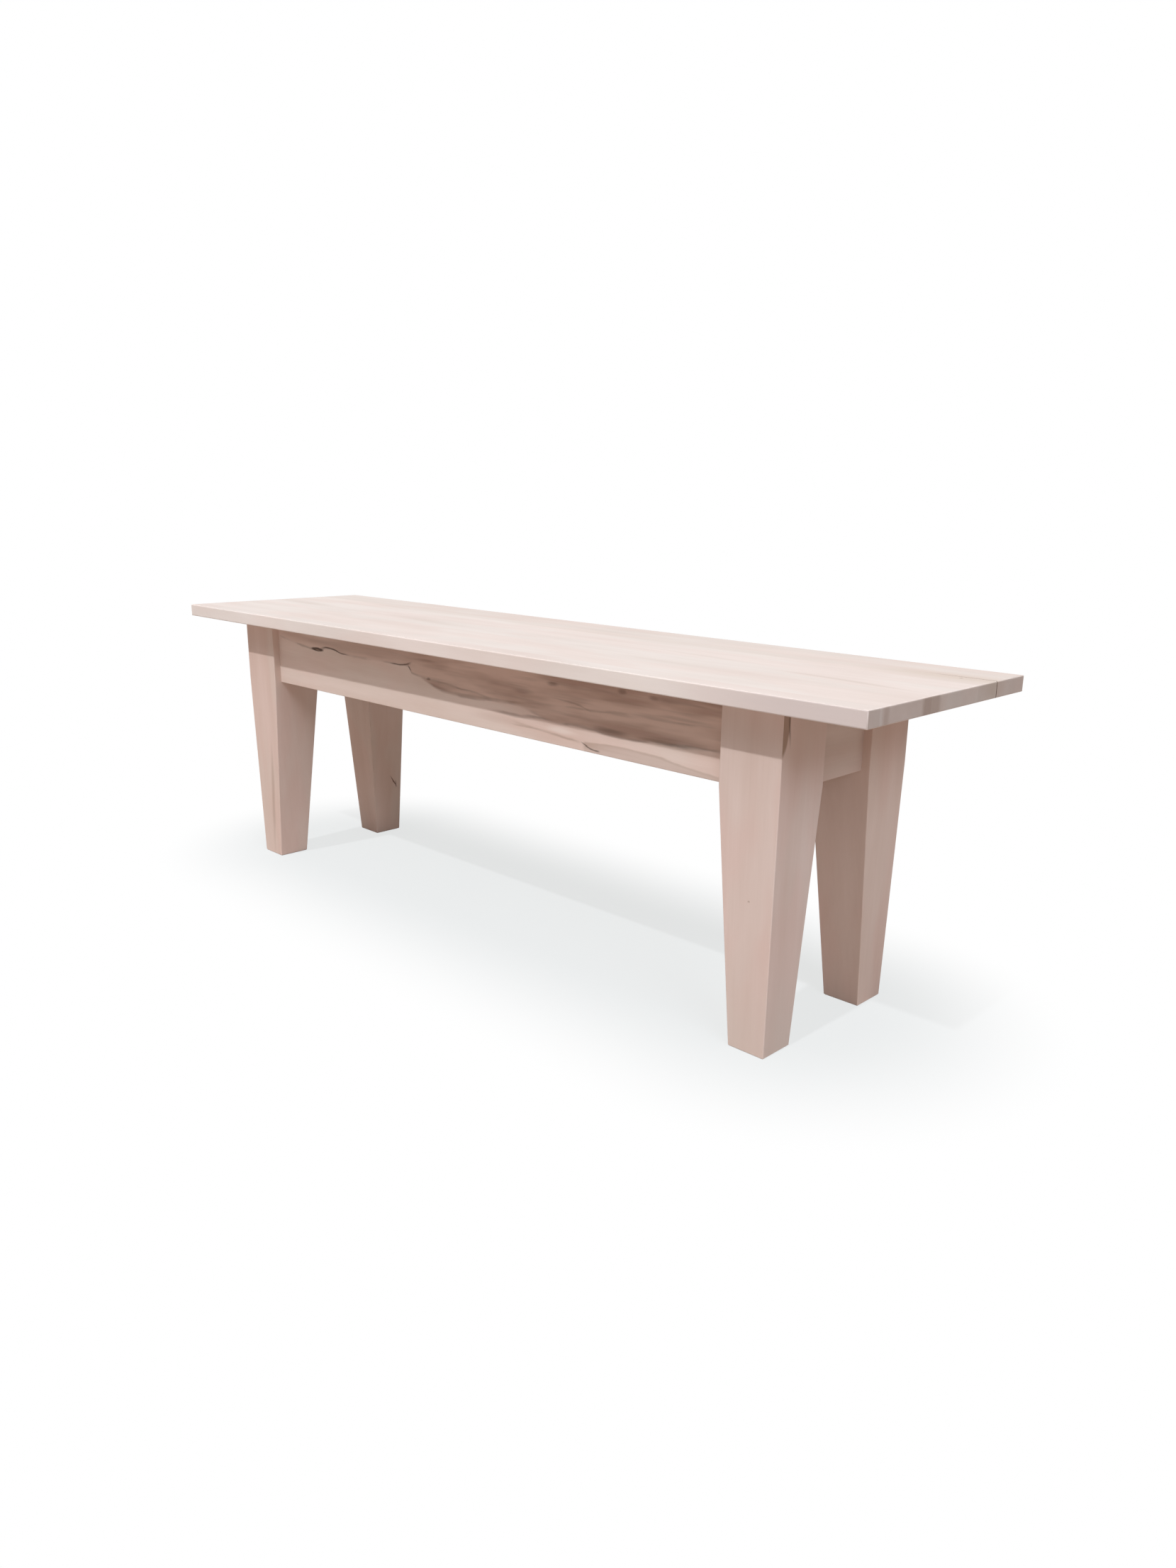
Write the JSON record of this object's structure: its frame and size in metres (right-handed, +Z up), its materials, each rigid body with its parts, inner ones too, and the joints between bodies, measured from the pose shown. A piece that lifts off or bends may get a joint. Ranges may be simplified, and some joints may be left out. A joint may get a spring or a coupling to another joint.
{
  "type": "communion table",
  "caption": "Long, narrow solid-wood table: an edge-glued top overhangs tapered square posts joined by tenoned aprons, with cross rails and buttons hidden beneath.",
  "frame": {"origin": "on the floor, under the middle of the top", "axes": "+X along the table towards its right-hand end, +Y towards the back, +Z up; the front faces -Y"},
  "size_m": [2.4, 0.6, 0.762],
  "materials": {
    "top_maple": "limed, matt",
    "leg_maple": "limed, matt",
    "apron_maple": "limed, matt",
    "rail_maple": "planed, left bare",
    "button_beech": "planed, left bare",
    "zinc_steel": "zinc plated"
  },
  "bodies": {
    "root": {"top_board_front": "top_maple", "top_board_front_inner": "top_maple", "top_board_middle": "top_maple", "top_board_back_inner": "top_maple", "top_board_back": "top_maple", "leg_front_left": "leg_maple", "leg_front_right": "leg_maple", "leg_back_left": "leg_maple", "leg_back_right": "leg_maple", "apron_front": "apron_maple", "apron_back": "apron_maple", "apron_left": "apron_maple", "apron_right": "apron_maple", "cross_rail_left": "rail_maple", "cross_rail_middle": "rail_maple", "cross_rail_right": "rail_maple", "top_buttons": "button_beech", "button_screws": "zinc_steel", "rail_screws": "zinc_steel", "rail_washers": "zinc_steel"}
  },
  "joints": []
}
